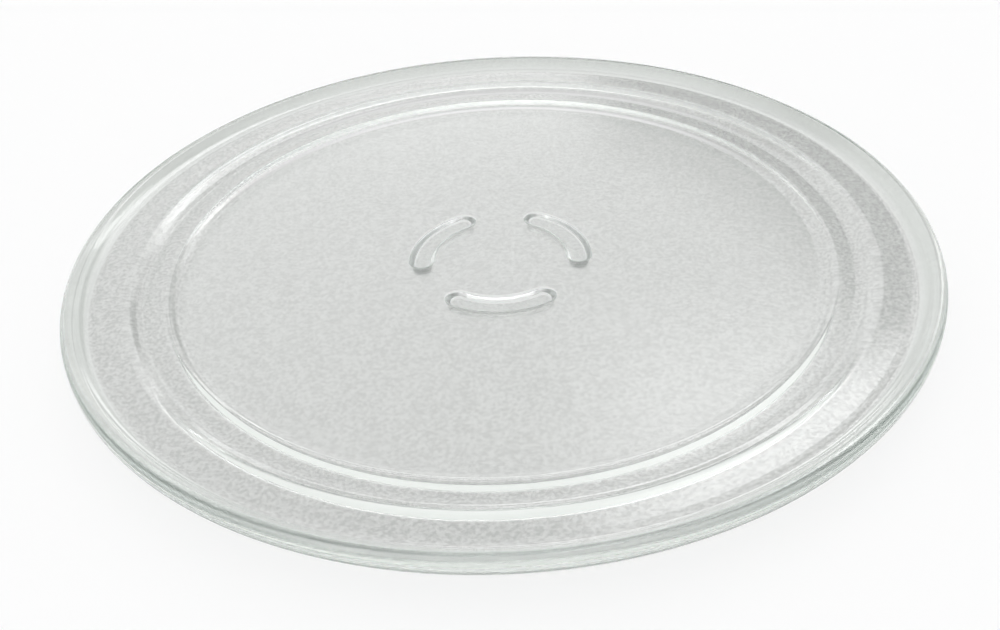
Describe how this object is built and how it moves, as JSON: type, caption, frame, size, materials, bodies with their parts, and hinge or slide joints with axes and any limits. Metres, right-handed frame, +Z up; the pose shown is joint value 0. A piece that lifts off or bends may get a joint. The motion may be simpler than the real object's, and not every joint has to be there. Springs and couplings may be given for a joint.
{
  "type": "microwave glass tray",
  "caption": "Round clear pressed-glass turntable tray for a microwave oven: flat floor, stepped flange, raised rounded rim and curved drive lugs under the floor.",
  "frame": {"origin": "centre of the tray, on the plane of the lug tips that it stands on", "axes": "+Z up along the axis that the tray turns about, out of the dish; one lug is centred on -Y"},
  "size_m": [0.3048, 0.3048, 0.0171],
  "materials": {
    "pressed_glass": "gloss"
  },
  "bodies": {
    "root": {"glass_tray": "pressed_glass"}
  },
  "joints": []
}
